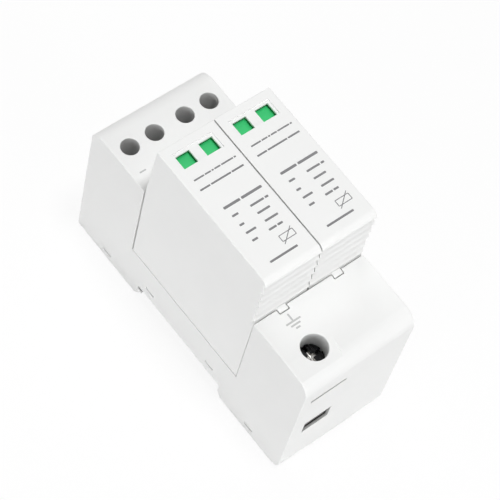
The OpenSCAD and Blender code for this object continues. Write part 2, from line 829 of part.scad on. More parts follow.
// Outline of a plug blade with a bevelled tip
module blade_outline(y, top) {
    polygon([[y - blade_w / 2, top], [y - blade_w / 2, blade_low_z + blade_tip],
        [y - blade_w / 2 + blade_tip, blade_low_z], [y + blade_w / 2 - blade_tip, blade_low_z],
        [y + blade_w / 2, blade_low_z + blade_tip], [y + blade_w / 2, top]]);
}

module line_blade(pole) {
    x = pole_x(pole);
    leg_in = varistor_out + seat_gap;
    color("peru") {
        slab(x - blade_t / 2, x + blade_t / 2)
            blade_outline(blade_mid, cross_z + blade_t);
        block([x - leaf_x, blade_mid - blade_w / 4, cross_z], [x + leaf_x, leg_y + leg_w, cross_z + blade_t]);
        for (side = [-1, 1])
            translate([x + side * (leaf_x + leg_in) / 2, leg_y + leg_w / 2, cross_z + (blade_t + leg_h) / 2])
                cube([leaf_x - leg_in, leg_w, blade_t + leg_h], center = true);
    }
}

module earth_blade(pole) {
    color("peru")
        slab(pole_x(pole) - blade_t / 2, pole_x(pole) + blade_t / 2)
            union() {
                blade_outline(-blade_mid, varistor_z + varistor_l / 2);
                translate([varistor_y + plate_inset / 2, varistor_z + plate_inset])
                    square([varistor_l - plate_inset, varistor_l - 2 * plate_inset]);
            }
}

// Square block with rounded edges and a solder pad on its outer face: side is -1 or 1
module varistor(pole, side) {
    low = side < 0 ? -varistor_out : varistor_in;
    color("steelblue")
        translate([pole_x(pole), 0, 0]) {
            slab(low, low + varistor_t)
                translate([varistor_y, varistor_z])
                    difference() {
                        square(varistor_l);
                        for (corner = [[0, 0], [1, 0], [0, 1], [1, 1]])
                            translate(corner * varistor_l)
                                mirror([corner[0], 0])
                                    mirror([0, corner[1]])
                                        corner_cut(varistor_round);
                    }
            translate([side * (varistor_out + leaf_x) / 2, solder_y + solder_l / 2,
                varistor_top - solder_drop + solder_h / 2])
                cube([leaf_x - varistor_out, solder_l, solder_h], center = true);
        }
}

// Spring strip from the line blade's leg to the solder pad, with a tip beside the flag's lug
module release_leaf(pole, side) {
    low = side < 0 ? -leaf_x - leaf_t : leaf_x;
    foot_y = leg_y + leg_w;
    foot_z = cross_z + blade_t;
    bend_z = varistor_top - solder_drop;
    color("goldenrod")
        translate([pole_x(pole), 0, 0])
            slab(low, low + leaf_t)
                polygon([[foot_y - leaf_w, foot_z], [foot_y, foot_z], [foot_y, bend_z + leaf_w],
                    [solder_y + solder_l, bend_z + 2 * leaf_w], [solder_y + solder_l, leaf_top],
                    [solder_y, leaf_top], [solder_y, bend_z], [foot_y - leaf_w, bend_z]]);
}

// Flag under a window, with a lug behind it that the spring pushes on
module status_flag(pole, side) {
    color("limegreen")
        translate([pole_x(pole), 0, 0])
            mirror([side < 0 ? 1 : 0, 0, 0]) {
                block([flag_x - flag_w / 2, flag_y - lug_t, flag_z],
                    [flag_x + flag_w / 2, flag_y + flag_l, flag_z + flag_t]);
                block([flag_x - flag_w / 2, flag_y - lug_t, flag_lug_z],
                    [flag_x - flag_w / 2 + flag_lug_w, flag_y, flag_z + flag_t]);
            }
}

module flag_spring(pole, side) {
    color("silver")
        translate([pole_x(pole) + side * (flag_x - flag_w / 2 + flag_lug_w / 2), flag_y + seat_gap, coil_z])
            coil(coil_r, coil_wire, coil_turns, marker_end_y - flag_y - seat_gap);
}

module fault_marker(pole) {
    color("crimson")
        block([pole_x(pole) - marker_w / 2, marker_y, marker_z],
            [pole_x(pole) + marker_w / 2, marker_end_y, marker_z + marker_t]);
}

base_housing();
back_plate();
rail_clip();
rail_clip_spring();
line_screw(1);  // line_screw_1
line_screw(2);  // line_screw_2
line_screw(3);  // line_screw_3
line_screw(4);  // line_screw_4
line_cage(1);  // line_cage_1
line_cage(2);  // line_cage_2
line_cage(3);  // line_cage_3
line_cage(4);  // line_cage_4
line_bar(1);  // line_bar_1
line_bar(2);  // line_bar_2
socket_fork(1, blade_mid);  // line_fork_1
socket_fork(2, blade_mid);  // line_fork_2
earth_screw();
earth_cage();
earth_bar();
socket_fork(1, -blade_mid);  // earth_fork_1
socket_fork(2, -blade_mid);  // earth_fork_2
module_shell(1);  // module_shell_1
module_floor(1);  // module_floor_1
line_blade(1);  // line_blade_1
earth_blade(1);  // earth_blade_1
varistor(1, -1);  // varistor_a_1
varistor(1, 1);  // varistor_b_1
release_leaf(1, -1);  // release_leaf_a_1
release_leaf(1, 1);  // release_leaf_b_1
status_flag(1, -1);  // status_flag_a_1
status_flag(1, 1);  // status_flag_b_1
flag_spring(1, -1);  // flag_spring_a_1
flag_spring(1, 1);  // flag_spring_b_1
fault_marker(1);  // fault_marker_1
module_shell(2);  // module_shell_2
module_floor(2);  // module_floor_2
line_blade(2);  // line_blade_2
earth_blade(2);  // earth_blade_2
varistor(2, -1);  // varistor_a_2
varistor(2, 1);  // varistor_b_2
release_leaf(2, -1);  // release_leaf_a_2
release_leaf(2, 1);  // release_leaf_b_2
status_flag(2, -1);  // status_flag_a_2
status_flag(2, 1);  // status_flag_b_2
flag_spring(2, -1);  // flag_spring_a_2
flag_spring(2, 1);  // flag_spring_b_2
fault_marker(2);  // fault_marker_2
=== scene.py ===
"""Looks of the two-pole plug-in surge arrester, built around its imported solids."""

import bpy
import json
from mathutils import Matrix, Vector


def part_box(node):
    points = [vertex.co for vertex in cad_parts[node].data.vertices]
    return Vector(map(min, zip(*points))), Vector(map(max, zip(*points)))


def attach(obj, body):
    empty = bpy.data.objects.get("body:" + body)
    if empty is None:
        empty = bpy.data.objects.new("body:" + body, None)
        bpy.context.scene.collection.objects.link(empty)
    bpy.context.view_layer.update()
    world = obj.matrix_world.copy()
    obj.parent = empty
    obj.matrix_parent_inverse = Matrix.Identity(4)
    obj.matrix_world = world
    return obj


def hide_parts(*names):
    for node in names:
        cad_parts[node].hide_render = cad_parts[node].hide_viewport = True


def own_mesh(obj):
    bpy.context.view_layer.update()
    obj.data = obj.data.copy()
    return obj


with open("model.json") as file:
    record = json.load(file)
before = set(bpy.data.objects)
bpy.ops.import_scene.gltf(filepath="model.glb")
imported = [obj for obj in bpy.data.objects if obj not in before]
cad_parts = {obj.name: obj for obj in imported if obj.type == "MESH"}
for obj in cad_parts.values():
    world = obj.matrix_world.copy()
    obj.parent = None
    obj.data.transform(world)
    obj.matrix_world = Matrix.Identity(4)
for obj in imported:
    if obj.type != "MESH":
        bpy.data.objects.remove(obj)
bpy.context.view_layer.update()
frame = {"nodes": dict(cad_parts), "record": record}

import json
import math

import bmesh
import bpy
from mathutils import Euler, Matrix, Vector

# Lengths are in millimetres where nothing else is said, and MM turns them into Blender's metres
MM = 0.001
NODES = frame["nodes"]
BODIES = frame["record"]["behaviour"]["bodies"]
BODY_OF = {node: body for body, nodes in BODIES.items() for node in nodes}
SLOT_OF = {part["node"]: part["material_slot"] for part in frame["record"]["subparts"]}
POLES = (1, 2)
LINE_TERMINALS = (1, 2, 3, 4)
POLE_W = 18.0
FRONT_Z = 70.0
SHOULDER_Z = 49.0


def pole_x(pole):
    """Middle of a pole across the body."""
    return (pole - sum(POLES) / len(POLES)) * POLE_W


# Shader nodes


def new_group(name, inputs, outputs):
    """A shader node group with named sockets; each input is (name, socket type, default)."""
    group = bpy.data.node_groups.new(name, "ShaderNodeTree")
    for label, kind, value in inputs:
        socket = group.interface.new_socket(label, in_out="INPUT", socket_type=kind)
        socket.default_value = value
    for label, kind in outputs:
        group.interface.new_socket(label, in_out="OUTPUT", socket_type=kind)
    start = group.nodes.new("NodeGroupInput")
    end = group.nodes.new("NodeGroupOutput")
    return group, start, end


def noise_node(tree, vector, scale, detail, roughness):
    """A noise texture on the given coordinates, scale as a number or a socket."""
    node = tree.nodes.new("ShaderNodeTexNoise")
    node.inputs["Detail"].default_value = detail
    node.inputs["Roughness"].default_value = roughness
    tree.links.new(vector, node.inputs["Vector"])
    if isinstance(scale, float):
        node.inputs["Scale"].default_value = scale
    else:
        tree.links.new(scale, node.inputs["Scale"])
    return node.outputs["Fac"]


def math_node(tree, kind, first, second):
    """A math node; each side is a number or a socket."""
    node = tree.nodes.new("ShaderNodeMath")
    node.operation = kind
    for place, value in enumerate((first, second)):
        if isinstance(value, float):
            node.inputs[place].default_value = value
        else:
            tree.links.new(value, node.inputs[place])
    return node.outputs[0]


def sum_of_squares(tree, first, second):
    """The sum of two squared values."""
    squares = [math_node(tree, "MULTIPLY", value, value) for value in (first, second)]
    return math_node(tree, "ADD", *squares)


def ramp_node(tree, value, low, high, out_low=0.0, out_high=1.0):
    """A clamped change of range."""
    node = tree.nodes.new("ShaderNodeMapRange")
    node.inputs["From Min"].default_value = low
    node.inputs["From Max"].default_value = high
    node.inputs["To Min"].default_value = out_low
    node.inputs["To Max"].default_value = out_high
    tree.links.new(value, node.inputs["Value"])
    return node.outputs["Result"]


def mix_node(tree, factor, first, second):
    """A colour mix; factor is a socket, the colours are tuples or sockets."""
    node = tree.nodes.new("ShaderNodeMix")
    node.data_type = "RGBA"
    tree.links.new(factor, node.inputs["Factor"])
    for label, value in (("A", first), ("B", second)):
        socket = next(each for each in node.inputs if each.name == label and each.type == "RGBA")
        if isinstance(value, tuple):
            socket.default_value = (*value, 1.0)
        else:
            tree.links.new(value, socket)
    return next(each for each in node.outputs if each.type == "RGBA")


def within(tree, value, span):
    """1 where a coordinate lies in a span, otherwise 0."""
    above = math_node(tree, "GREATER_THAN", value, span[0] * MM)
    below = math_node(tree, "LESS_THAN", value, span[1] * MM)
    return math_node(tree, "MULTIPLY", above, below)


def object_axes(tree):
    """X, Y and Z of the Object coordinates, as sockets by name."""
    coords = tree.nodes.new("ShaderNodeTexCoord")
    axes = tree.nodes.new("ShaderNodeSeparateXYZ")
    tree.links.new(coords.outputs["Object"], axes.inputs["Vector"])
    return axes.outputs


def colour_input(tree):
    """The shader's colour input, and the socket that feeds it so far."""
    colour = tree.nodes["Principled BSDF"].inputs["Base Color"]
    return colour, colour.links[0].from_socket


# Effects that several finishes share; scales are in waves for each metre


GRAIN_SCALE = 4200.0
COARSE_SCALE = 900.0
FLOW_SCALE = 38.0
FINE_SHARE = 0.7
COARSE_SHARE = 0.3
LINE_SCALE = 1800.0
LINE_STRETCH = (1.0, 0.06, 1.0)
CLOUD_SCALE = 420.0


def make_moulded_grain():
    """Spark-eroded grain of a moulded skin, with broad soft tone from the melt's flow."""
    group, start, end = new_group(
        "moulded_grain",
        [("Vector", "NodeSocketVector", (0.0, 0.0, 0.0)), ("Grain Scale", "NodeSocketFloat", GRAIN_SCALE)],
        [("Height", "NodeSocketFloat"), ("Tone", "NodeSocketFloat"), ("Gloss", "NodeSocketFloat")],
    )
    vector = start.outputs["Vector"]
    fine = noise_node(group, vector, start.outputs["Grain Scale"], detail=2.0, roughness=0.5)
    coarse = noise_node(group, vector, COARSE_SCALE, detail=2.0, roughness=0.5)
    flow = noise_node(group, vector, FLOW_SCALE, detail=4.0, roughness=0.6)
    fine_part = math_node(group, "MULTIPLY", fine, FINE_SHARE)
    coarse_part = math_node(group, "MULTIPLY", coarse, COARSE_SHARE)
    group.links.new(math_node(group, "ADD", fine_part, coarse_part), end.inputs["Height"])
    group.links.new(ramp_node(group, flow, 0.3, 0.7), end.inputs["Tone"])
    group.links.new(ramp_node(group, coarse, 0.3, 0.7), end.inputs["Gloss"])
    return group


def make_rolled_metal():
    """Fine drawn lines of strip metal and turned parts, with cloudy plating."""
    group, start, end = new_group(
        "rolled_metal",
        [("Vector", "NodeSocketVector", (0.0, 0.0, 0.0)), ("Line Scale", "NodeSocketFloat", LINE_SCALE)],
        [("Height", "NodeSocketFloat"), ("Cloud", "NodeSocketFloat"), ("Lines", "NodeSocketFloat")],
    )
    stretch = group.nodes.new("ShaderNodeMapping")
    stretch.inputs["Scale"].default_value = LINE_STRETCH
    group.links.new(start.outputs["Vector"], stretch.inputs["Vector"])
    drawn = stretch.outputs["Vector"]
    lines = noise_node(group, drawn, start.outputs["Line Scale"], detail=3.0, roughness=0.6)
    cloud = noise_node(group, start.outputs["Vector"], CLOUD_SCALE, detail=4.0, roughness=0.6)
    group.links.new(lines, end.inputs["Height"])
    group.links.new(ramp_node(group, cloud, 0.3, 0.72), end.inputs["Cloud"])
    group.links.new(ramp_node(group, lines, 0.35, 0.65), end.inputs["Lines"])
    return group


MOULDED_GRAIN = make_moulded_grain()
ROLLED_METAL = make_rolled_metal()


# Finishes


GRAIN_DEPTH = 0.03
LINE_DEPTH = 0.02
LINE_BUMP = 0.3
# How far the roughness falls and rises around its middle
PLASTIC_SPREAD = (-0.05, 0.06)
METAL_SPREAD = (-0.08, 0.1)


def new_material(name):
    """An empty node material with its shader and Object coordinates."""
    material = bpy.data.materials.new(name)
    material.use_nodes = True
    tree = material.node_tree
    coords = tree.nodes.new("ShaderNodeTexCoord")
    return material, tree, tree.nodes["Principled BSDF"], coords.outputs["Object"]


def place_group(tree, group, vector, scale_name, scale):
    """A node group in a material, fed with the coordinates and its own scale."""
    node = tree.nodes.new("ShaderNodeGroup")
    node.node_tree = group
    tree.links.new(vector, node.inputs["Vector"])
    node.inputs[scale_name].default_value = scale
    return node.outputs


def add_gloss(tree, shader, value, rough, spread):
    """Roughness that follows a value over the surface."""
    gloss = ramp_node(tree, value, 0.0, 1.0, rough + spread[0], rough + spread[1])
    tree.links.new(gloss, shader.inputs["Roughness"])


def add_bump(tree, shader, height, strength, depth):
    """Bump from a height that changes over the surface."""
    bump = tree.nodes.new("ShaderNodeBump")
    bump.inputs["Strength"].default_value = strength
    bump.inputs["Distance"].default_value = depth * MM
    tree.links.new(height, bump.inputs["Height"])
    tree.links.new(bump.outputs["Normal"], shader.inputs["Normal"])


def plastic(name, colour, shade, rough, bump, specular=0.45, grain=GRAIN_SCALE):
    """Moulded plastic: grain in the bump, soft tone in the colour, gloss that follows the grain."""
    material, tree, shader, vector = new_material(name)
    skin = place_group(tree, MOULDED_GRAIN, vector, "Grain Scale", grain)
    tree.links.new(mix_node(tree, skin["Tone"], colour, shade), shader.inputs["Base Color"])
    shader.inputs["Specular IOR Level"].default_value = specular
    add_gloss(tree, shader, skin["Gloss"], rough, PLASTIC_SPREAD)
    add_bump(tree, shader, skin["Height"], bump, GRAIN_DEPTH)
    return material


def metal(name, colour, shade, rough):
    """Strip or turned metal with drawn lines and cloudy plating."""
    material, tree, shader, vector = new_material(name)
    skin = place_group(tree, ROLLED_METAL, vector, "Line Scale", LINE_SCALE)
    tree.links.new(mix_node(tree, skin["Cloud"], colour, shade), shader.inputs["Base Color"])
    shader.inputs["Metallic"].default_value = 1.0
    add_gloss(tree, shader, skin["Lines"], rough, METAL_SPREAD)
    add_bump(tree, shader, skin["Height"], LINE_BUMP, LINE_DEPTH)
    return material


# The four line wells: their middles on either side of the body, their radius and their depth
WELL_X = (5.0, 13.0)
WELL_Y = 35.6
WELL_R = 2.58
WELL_Z = (30.0, 48.85)
# Painted shade: the grey laid on the walls of the line wells, standing in for the shade that falls in them
WELL_PAINTED_SHADE = (0.7, 0.7, 0.695)
# The earth end's wire mouth and the slit above it: spans along X, Y and Z, and the grey of the painted
# shade laid in each
MOUTH_AND_SLIT_PAINTED_SHADE = (
    (((-17.0, -1.0), (-44.75, -41.0), (16.0, 36.0)), (0.4, 0.4, 0.396)),
    (((-14.9, -3.1), (-44.985, -42.5), (38.3, 39.45)), (0.58, 0.58, 0.575)),
)


def paint_shade_in_recesses(material):
    """Painted shade: the walls of the line wells, the earth wire's mouth and the slit, painted greyer than
    the outer skin where shade falls in them.
    """
    tree = material.node_tree
    colour, skin = colour_input(tree)
    axes = object_axes(tree)
    # Painted shade: the wire mouth and the slit above it are mixed towards their greys where shade falls
    for spans, grey in MOUTH_AND_SLIT_PAINTED_SHADE:
        along_x, along_y, along_z = (within(tree, axes[axis], span) for axis, span in zip("XYZ", spans))
        mouth = math_node(tree, "MULTIPLY", math_node(tree, "MULTIPLY", along_x, along_y), along_z)
        skin = mix_node(tree, mouth, skin, grey)
    # X is folded over the body's middle and then between the wells, so that the four lie on each other
    across = math_node(tree, "ABSOLUTE", axes["X"], 0.0)
    for fold in (sum(WELL_X) / 2, (WELL_X[1] - WELL_X[0]) / 2):
        across = math_node(tree, "ABSOLUTE", math_node(tree, "SUBTRACT", across, fold * MM), 0.0)
    along = math_node(tree, "SUBTRACT", axes["Y"], WELL_Y * MM)
    bored = math_node(tree, "LESS_THAN", sum_of_squares(tree, across, along), (WELL_R * MM) ** 2)
    # Painted shade: inside the line wells the colour is mixed towards the grey
    well_shade_mask = math_node(tree, "MULTIPLY", bored, within(tree, axes["Z"], WELL_Z))
    tree.links.new(mix_node(tree, well_shade_mask, skin, WELL_PAINTED_SHADE), colour)


SCREW_BLACK = (0.03, 0.03, 0.031)
SCREW_SHADE = (0.018, 0.018, 0.019)
# Painted highlight and wear: the bright bare steel of the cross
WEAR_AND_GLINT_BRIGHT = (0.5, 0.49, 0.47)
# The worn cross, bare steel that is also a painted highlight for the glints in it: its reach as a share of
# the screw's width, the share of that without fade, and its depths
CROSS_REACH = 0.28
CROSS_CLEAR = 0.7
CROSS_FROM = 0.1
CROSS_FULL = 0.3


def screw_steel(node):
    """Blackened steel, bare and bright in the cross that the driver has turned; the bright cross is also a
    painted highlight for the glints there.
    """
    material = metal(node + "_steel", SCREW_BLACK, SCREW_SHADE, rough=0.22)
    tree = material.node_tree
    colour, black = colour_input(tree)
    axes = object_axes(tree)
    low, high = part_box(node)
    reach = CROSS_REACH * (high[0] - low[0])
    sunk = ramp_node(tree, axes["Z"], high[2] - CROSS_FULL * MM, high[2] - CROSS_FROM * MM, 1.0, 0.0)
    across = math_node(tree, "SUBTRACT", axes["X"], (low[0] + high[0]) / 2)
    along = math_node(tree, "SUBTRACT", axes["Y"], (low[1] + high[1]) / 2)
    squares = sum_of_squares(tree, across, along)
    near = ramp_node(tree, squares, (CROSS_CLEAR * reach) ** 2, reach ** 2, 1.0, 0.0)
    # Painted highlight: the cross is bright bare steel, partly wear and partly standing in for glints
    wear_and_glint = math_node(tree, "MULTIPLY", sunk, near)
    tree.links.new(mix_node(tree, wear_and_glint, black, WEAR_AND_GLINT_BRIGHT), colour)
    return material


BASE_WHITE = plastic(
    "base_white_plastic", (0.865, 0.868, 0.862), (0.845, 0.848, 0.842),
    rough=0.52, bump=0.25, specular=0.25,
)
MODULE_WHITE = plastic(
    "module_white_plastic", (0.875, 0.878, 0.872), (0.855, 0.858, 0.852),
    rough=0.48, bump=0.18, specular=0.3,
)
FLAG_GREEN = plastic("flag_green_plastic", (0.035, 0.62, 0.19), (0.03, 0.54, 0.165), rough=0.38, bump=0.2)
MARKER_RED = plastic("marker_red_plastic", (0.62, 0.03, 0.025), (0.52, 0.025, 0.02), rough=0.4, bump=0.2)
VARISTOR_BLUE = plastic(
    "varistor_epoxy", (0.03, 0.07, 0.2), (0.022, 0.05, 0.15),
    rough=0.3, bump=0.35, specular=0.5, grain=1500.0,
)
INK_DARK = plastic("printed_ink_dark", (0.17, 0.17, 0.175), (0.22, 0.22, 0.225), rough=0.5, bump=0.15)
INK_PALE = plastic("printed_ink_pale", (0.46, 0.46, 0.46), (0.5, 0.5, 0.5), rough=0.5, bump=0.15)
CAGE_STEEL = metal("cage_steel", (0.33, 0.33, 0.32), (0.2, 0.2, 0.195), rough=0.38)
SPRING_STEEL = metal("spring_steel", (0.5, 0.5, 0.5), (0.38, 0.38, 0.38), rough=0.28)
COPPER = metal("copper_strip", (0.72, 0.36, 0.22), (0.6, 0.29, 0.17), rough=0.3)
BRONZE = metal("spring_bronze", (0.7, 0.5, 0.24), (0.58, 0.4, 0.18), rough=0.28)
SCREWS = ("earth_screw", *(f"line_screw_{number}" for number in LINE_TERMINALS))
CAGES = ("earth_cage", *(f"line_cage_{number}" for number in LINE_TERMINALS))
SHELLS = tuple(f"module_shell_{pole}" for pole in POLES)

# Painted shade is laid in the base plastic's line wells, wire mouth and slit
paint_shade_in_recesses(BASE_WHITE)

FINISH_OF_SLOT = {
    "white_plastic": BASE_WHITE,
    "steel": SPRING_STEEL,
    "copper": COPPER,
    "bronze": BRONZE,
    "varistor_coat": VARISTOR_BLUE,
    "green_plastic": FLAG_GREEN,
    "red_plastic": MARKER_RED,
}
OWN_FINISH = {
    **{screw: screw_steel(screw) for screw in SCREWS},
    **dict.fromkeys(CAGES, CAGE_STEEL),
    **dict.fromkeys(SHELLS, MODULE_WHITE),
}


# Pieces made from the solids


# Width of the rounding on the edges of the solids that show
ROUNDING = {
    **{f"line_screw_{number}": 0.18 for number in LINE_TERMINALS},
    **{f"line_cage_{number}": 0.12 for number in LINE_TERMINALS},
    **dict.fromkeys(SHELLS, 0.22),
    "base_housing": 0.22,
    "back_plate": 0.12,
    "rail_clip": 0.2,
    "earth_screw": 0.25,
    "earth_cage": 0.15,
}
ROUND_SEGMENTS = 3
MERGE_REACH = 0.001
FLAT_ANGLE = math.radians(1.0)
CREASE_ANGLE = math.radians(30.0)
SHARP_ANGLE = math.radians(40.0)
# Spans along X, Y and Z: the window recess of each module, the facet beside the earth screw, the grip ribs
SHALLOW_SPACES = (
    ((-16.0, -2.0), (11.5, 20.7), (66.0, 71.0)),
    ((2.0, 16.0), (11.5, 20.7), (66.0, 71.0)),
    ((-5.05, -2.9), (-44.95, -28.0), (47.0, 49.5)),
    ((-18.0, 18.0), (-24.5, -18.0), (49.3, 66.0)),
)
# The close seam between the bay and the modules
BAY_FLOOR_Z = 18.35
BAY_END_Y = 22.9
SEAM_REACH = 0.2
# Shares of the full rounding, and the cosine under which one edge counts as lying across another
CLOSE_SHARE = 0.2
ROOM_SHARE = 0.4
ACROSS_LIMIT = 0.7
# The lower edge of a module's shell: how it is found, and how far it comes down
SEAT_REACH = 0.02
SEAT_DROP = 0.13


def set_finish(obj, material):
    """One material on the whole piece."""
    obj.data.materials.clear()
    obj.data.materials.append(material)


def add_object(name, mesh, material):
    """A new object in the scene with one material."""
    obj = bpy.data.objects.new(name, mesh)
    bpy.context.scene.collection.objects.link(obj)
    set_finish(obj, material)
    return obj


def mesh_from(shape, name):
    """A mesh from a bmesh, which is freed."""
    mesh = bpy.data.meshes.new(name)
    shape.to_mesh(mesh)
    shape.free()
    return mesh


def beside_seam(edge):
    """Whether an edge lies along the close seam between the bay and the modules."""
    places = [vert.co / MM for vert in edge.verts]
    under = all(abs(place.z - BAY_FLOOR_Z) < SEAM_REACH for place in places)
    ends = all(abs(abs(place.y) - BAY_END_Y) < SEAM_REACH for place in places)
    return under or ends


def in_shallow_space(edge):
    """Whether an edge lies wholly in a space whose walls are too low for a full rounding."""
    places = [vert.co / MM for vert in edge.verts]
    return any(
        all(low < place[axis] < high for place in places for axis, (low, high) in enumerate(space))
        for space in SHALLOW_SPACES
    )


def room_beside(edge):
    """Length of the shortest edge that leaves either end of this one across it, in metres."""
    along = (edge.verts[1].co - edge.verts[0].co).normalized()
    lengths = [math.inf]
    for vert in edge.verts:
        for other in vert.link_edges:
            across = (other.verts[1].co - other.verts[0].co).normalized()
            if abs(along.dot(across)) < ACROSS_LIMIT:
                lengths.append(other.calc_length())
    return min(lengths)


def weigh_edges(shape, width):
    """Full rounding on every sharp edge with room for it, and little where pieces or walls lie close."""
    layer = shape.edges.layers.float.new("bevel_weight_edge")
    for edge in shape.edges:
        if edge.calc_face_angle(0.0) > SHARP_ANGLE:
            share = CLOSE_SHARE if beside_seam(edge) or in_shallow_space(edge) else 1.0
            edge[layer] = min(share, ROOM_SHARE * room_beside(edge) / (width * MM))


def seat_on_bay(shape):
    """The lower edge of a module's shell comes down on the bay's floor, where it rests."""
    lowest = min(vert.co.z for vert in shape.verts)
    edge_verts = [vert for vert in shape.verts if vert.co.z < lowest + SEAT_REACH * MM]
    bmesh.ops.translate(shape, verts=edge_verts, vec=(0.0, 0.0, -SEAT_DROP * MM))


def round_edges(obj, width):
    """Modifiers that round the weighed edges and keep the large faces flat."""
    bevel = obj.modifiers.new("soft_edges", "BEVEL")
    bevel.width = width * MM
    bevel.segments = ROUND_SEGMENTS
    bevel.profile = 0.5
    bevel.use_clamp_overlap = False
    bevel.loop_slide = False
    bevel.face_strength_mode = "FSTR_ALL"
    bevel.limit_method = "WEIGHT"
    flatten = obj.modifiers.new("flat_faces", "WEIGHTED_NORMAL")
    flatten.mode = "FACE_AREA"
    flatten.weight = 100
    flatten.keep_sharp = True
    flatten.use_face_influence = True


def finished_copy(node, width, material):
    """A merged copy of a solid with rounded edges, which then stands for the solid."""
    shape = bmesh.new()
    shape.from_mesh(NODES[node].data)
    bmesh.ops.remove_doubles(shape, verts=shape.verts, dist=MERGE_REACH * MM)
    bmesh.ops.dissolve_limit(
        shape, angle_limit=FLAT_ANGLE, verts=shape.verts, edges=shape.edges, use_dissolve_boundaries=False
    )
    if node in SHELLS:
        seat_on_bay(shape)
    weigh_edges(shape, width)
    mesh = mesh_from(shape, node + "_finished")
    for face in mesh.polygons:
        face.use_smooth = True
    mesh.set_sharp_from_angle(angle=CREASE_ANGLE)
    obj = add_object(node + "_finished", mesh, material)
    round_edges(obj, width)
    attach(obj, BODY_OF[node])
    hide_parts(node)


def dress_nodes():
    """Every solid gets its finish; those that show get rounded edges."""
    for name, node in NODES.items():
        material = OWN_FINISH.get(name, FINISH_OF_SLOT[SLOT_OF[name]])
        set_finish(node, material)
        if name in ROUNDING:
            finished_copy(name, ROUNDING[name], material)


# New pieces


def piece_from(shape, name, body, material):
    """A finished piece from a bmesh, riding on a body."""
    bmesh.ops.recalc_face_normals(shape, faces=shape.faces)
    obj = add_object(name, mesh_from(shape, name), material)
    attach(obj, body)
    return obj


COIL_Y = (-36.9, -27.6)
COIL_Z = 2.05
COIL_R = 0.7
COIL_WIRE = 0.3
COIL_TURNS = 8
COIL_TURN_STEPS = 24
COIL_SIDES = 10
COIL_MERGE = 0.0001


def wind_clip_spring():
    """The rail clip's spring as a smooth coil."""
    low_y, high_y = COIL_Y
    steps = COIL_TURNS * COIL_TURN_STEPS
    rise = (high_y - low_y - COIL_WIRE) / steps
    shape = bmesh.new()
    bmesh.ops.create_circle(
        shape, cap_ends=True, segments=COIL_SIDES, radius=COIL_WIRE / 2 * MM,
        matrix=Matrix.Translation((COIL_R * MM, (low_y + COIL_WIRE / 2) * MM, COIL_Z * MM)),
    )
    bmesh.ops.spin(
        shape, geom=shape.verts[:] + shape.edges[:] + shape.faces[:], cent=(0.0, 0.0, COIL_Z * MM),
        axis=(0.0, 1.0, 0.0), dvec=(0.0, rise * MM, 0.0), angle=2 * math.pi * COIL_TURNS,
        steps=steps, use_merge=False,
    )
    bmesh.ops.remove_doubles(shape, verts=shape.verts, dist=COIL_MERGE * MM)
    for face in shape.faces:
        face.smooth = True
    coil = piece_from(shape, "rail_clip_coil", "base", SPRING_STEEL)
    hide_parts("rail_clip_spring")
    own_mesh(coil)


# Printed marks: plain bars and simple signs


INK_T = 0.015
# Lift of a bar that crosses another
OVERPRINT = 0.004
# Rounding of a bar's ends and the gap between bars, as shares of the bar's size
BAR_ROUND = 0.3
BAR_GAP = 0.55
# Rows on a module's front, from the module's own middle: from x, to x, y, bar height, lengths of the bars
FRONT_ROWS = (
    (-6.0, 7.1, 10.05, 0.44, (5, 3, 1, 3, 6, 1)),
    (-6.4, 7.2, 7.0, 0.5, (5, 10, 6)),
    (-4.7, 7.2, -0.2, 0.75, (4, 5)),
    (-4.3, -2.4, -3.1, 0.6, (1,)),
    (1.3, 6.9, -3.25, 0.6, (4, 1)),
    (-4.3, -2.9, -6.1, 0.6, (1,)),
    (1.5, 5.4, -5.85, 0.6, (1,)),
    (-4.3, -1.2, -8.65, 0.6, (1,)),
    (1.7, 5.8, -8.55, 0.6, (1,)),
    (-4.3, -2.6, -11.15, 0.6, (1,)),
    (1.0, 5.3, -11.05, 0.6, (3, 2)),
    (-4.3, 4.3, -18.2, 0.6, (9,)),
)
# Varistor sign: its box from the module's own middle, its line, and the extra height of its slanted line
SIGN_X = (1.9, 6.1)
SIGN_Y = (-15.5, -13.7)
SIGN_LINE = 0.22
SIGN_OVER = 1.6
# Earth sign: its upper bar's place, its line, its stem, and the drop and half length of each bar
EARTH_Y = -27.6
EARTH_LINE = 0.5
STEM_RISE = 1.3
STEM_L = 2.2
EARTH_BARS = ((0.0, 2.3), (1.0, 1.5), (2.0, 0.7))
# Bar at the line terminals
LINE_MARK_X = (-15.6, -13.6)
LINE_MARK_Y = 27.9
LINE_MARK_H = 0.45


def ink_bar(shape, x0, x1, y, height, z, turn=0.0):
    """A printed bar with rounded ends, lying on a face at height z."""
    made = bmesh.ops.create_cube(shape, size=1.0)["verts"]
    bmesh.ops.scale(shape, verts=made, vec=((x1 - x0) * MM, height * MM, INK_T * MM))
    edges = dict.fromkeys(edge for vert in made for edge in vert.link_edges)
    upright = [edge for edge in edges if abs((edge.verts[0].co - edge.verts[1].co).z) > INK_T / 2 * MM]
    rounded = bmesh.ops.bevel(
        shape, geom=upright, offset=BAR_ROUND * min(height, x1 - x0) * MM, offset_type="OFFSET",
        segments=ROUND_SEGMENTS, profile=0.5, affect="EDGES", material=-1,
    )
    verts = {vert for face in rounded["faces"] for vert in face.verts}
    verts = list(verts.union(vert for vert in made if vert.is_valid))
    bmesh.ops.rotate(shape, verts=verts, cent=(0, 0, 0), matrix=Matrix.Rotation(turn, 3, "Z"))
    bmesh.ops.translate(shape, verts=verts, vec=((x0 + x1) / 2 * MM, y * MM, (z + INK_T / 2) * MM))


def ink_row(shape, x0, x1, y, height, z, lengths):
    """A row of bars whose lengths have the given ratio, filling the span."""
    gap = BAR_GAP * height
    unit = (x1 - x0 - gap * (len(lengths) - 1)) / sum(lengths)
    for length in lengths:
        ink_bar(shape, x0, x0 + length * unit, y, height, z)
        x0 += length * unit + gap


